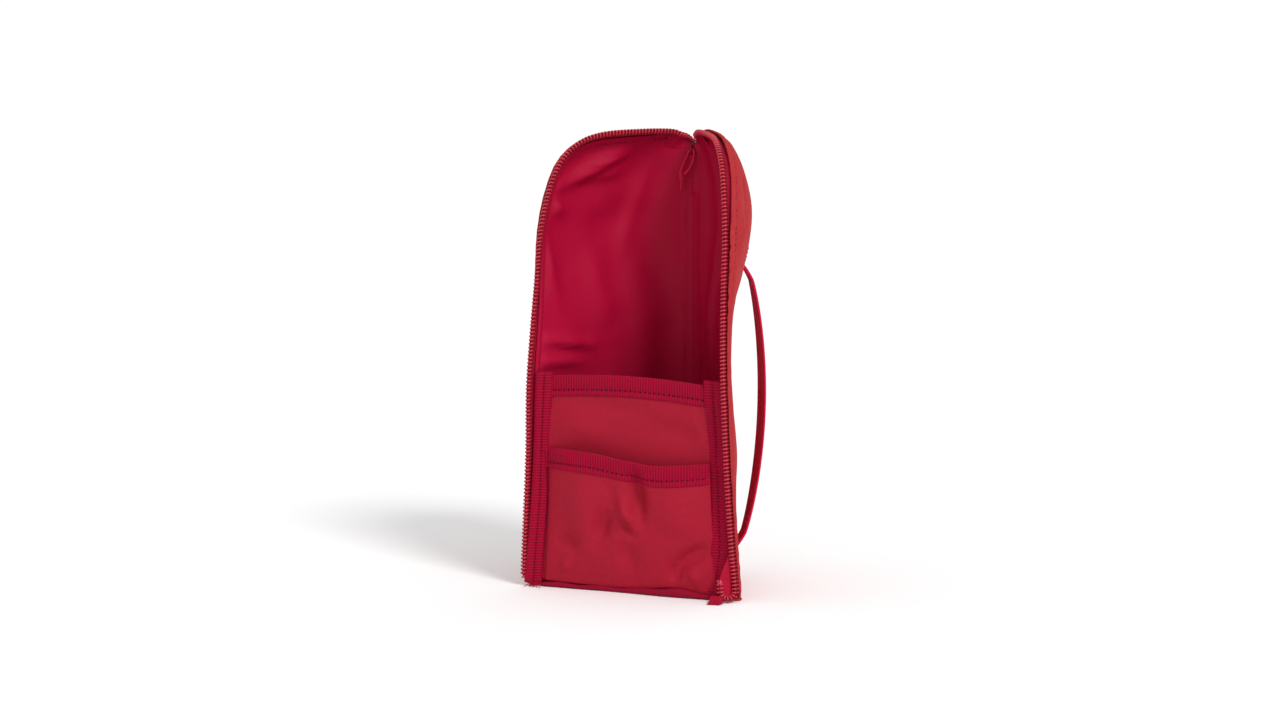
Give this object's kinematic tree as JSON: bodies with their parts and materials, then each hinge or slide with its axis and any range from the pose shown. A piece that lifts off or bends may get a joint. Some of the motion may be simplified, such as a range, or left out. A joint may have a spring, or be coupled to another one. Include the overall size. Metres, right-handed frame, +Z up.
{
  "type": "pencil pouch",
  "caption": "Stand-up fabric pencil pouch whose padded halves open on a rear spine, with a zip edge, a double front pocket, a cord pull and a webbing hand strap",
  "frame": {"origin": "middle of the underside of the base, on the surface that the pouch stands on", "axes": "+X to the right seen from the open front, +Y to the back where the spine is, +Z up"},
  "size_m": [0.1098, 0.0842, 0.2097],
  "materials": {
    "outer_fabric": "matte plain weave",
    "lining_fabric": "matte fine weave",
    "padding_foam": "soft foam",
    "pocket_fabric": "matte fine weave",
    "ribbed_binding": "ribbed tape",
    "zip_tape": "woven tape",
    "zip_coil": "satin nylon",
    "webbing": "ribbed webbing",
    "cord": "twisted cord",
    "painted_metal": "satin paint"
  },
  "bodies": {
    "root": {"base_panel": "outer_fabric", "base_lining": "lining_fabric", "pocket_back_panel": "pocket_fabric", "pocket_upper_binding": "ribbed_binding", "pocket_front_panel": "pocket_fabric", "pocket_lower_binding": "ribbed_binding", "left_pocket_side_binding": "ribbed_binding", "right_pocket_side_binding": "ribbed_binding", "spine_tape": "ribbed_binding", "spine_coil_left": "zip_coil", "spine_coil_right": "zip_coil", "zip_bottom_stop": "painted_metal"},
    "left_half": {"left_lining": "lining_fabric", "left_padding": "padding_foam", "left_outer_panel": "outer_fabric", "left_zip_tape": "zip_tape", "left_zip_coil": "zip_coil", "left_zip_tape_end": "zip_tape", "left_zip_top_stop": "painted_metal"},
    "right_half": {"right_lining": "lining_fabric", "right_padding": "padding_foam", "right_outer_panel": "outer_fabric", "right_zip_tape": "zip_tape", "right_zip_coil": "zip_coil", "right_zip_tape_end": "zip_tape", "right_zip_top_stop": "painted_metal", "strap_anchor_lower": "webbing", "strap_anchor_upper": "webbing"},
    "zip_slider": {"zip_slider_body": "painted_metal", "zip_slider_bail": "painted_metal"},
    "puller": {"pull_cord": "cord", "pull_knot": "cord"},
    "hand_strap": {"carry_strap": "webbing"}
  },
  "joints": [
    {"name": "left_half_fold", "type": "hinge", "parent": "root", "child": "left_half", "pos_m": [0, 0.036, 0], "axis": [0, 0, 1], "range_deg": [0, 32], "deforming": ["base_panel", "base_lining", "pocket_back_panel", "pocket_upper_binding", "pocket_front_panel", "pocket_lower_binding", "left_pocket_side_binding", "right_pocket_side_binding"]},
    {"name": "right_half_fold", "type": "hinge", "parent": "root", "child": "right_half", "pos_m": [0, 0.036, 0], "axis": [0, 0, 1], "range_deg": [-32, 0]},
    {"name": "zip_slide", "type": "slide", "parent": "root", "child": "zip_slider", "axis": [0, 0, -1], "range_m": [0, 0.012]},
    {"name": "pull_swing", "type": "hinge", "parent": "zip_slider", "child": "puller", "pos_m": [0, 0.03609, 0.19965], "axis": [-1, 0, 0], "range_deg": [-3, 100]},
    {"name": "strap_sway", "type": "hinge", "parent": "right_half", "child": "hand_strap", "pos_m": [0.03573, 0.00888, 0.01855], "axis": [0.0352, 0.0179, 0.9992], "range_deg": [-15, 15], "stiffness_Nm_per_rad": 0.005}
  ],
  "couplings": [
    {"joint": "right_half_fold", "follows": "left_half_fold", "ratio": -1}
  ]
}
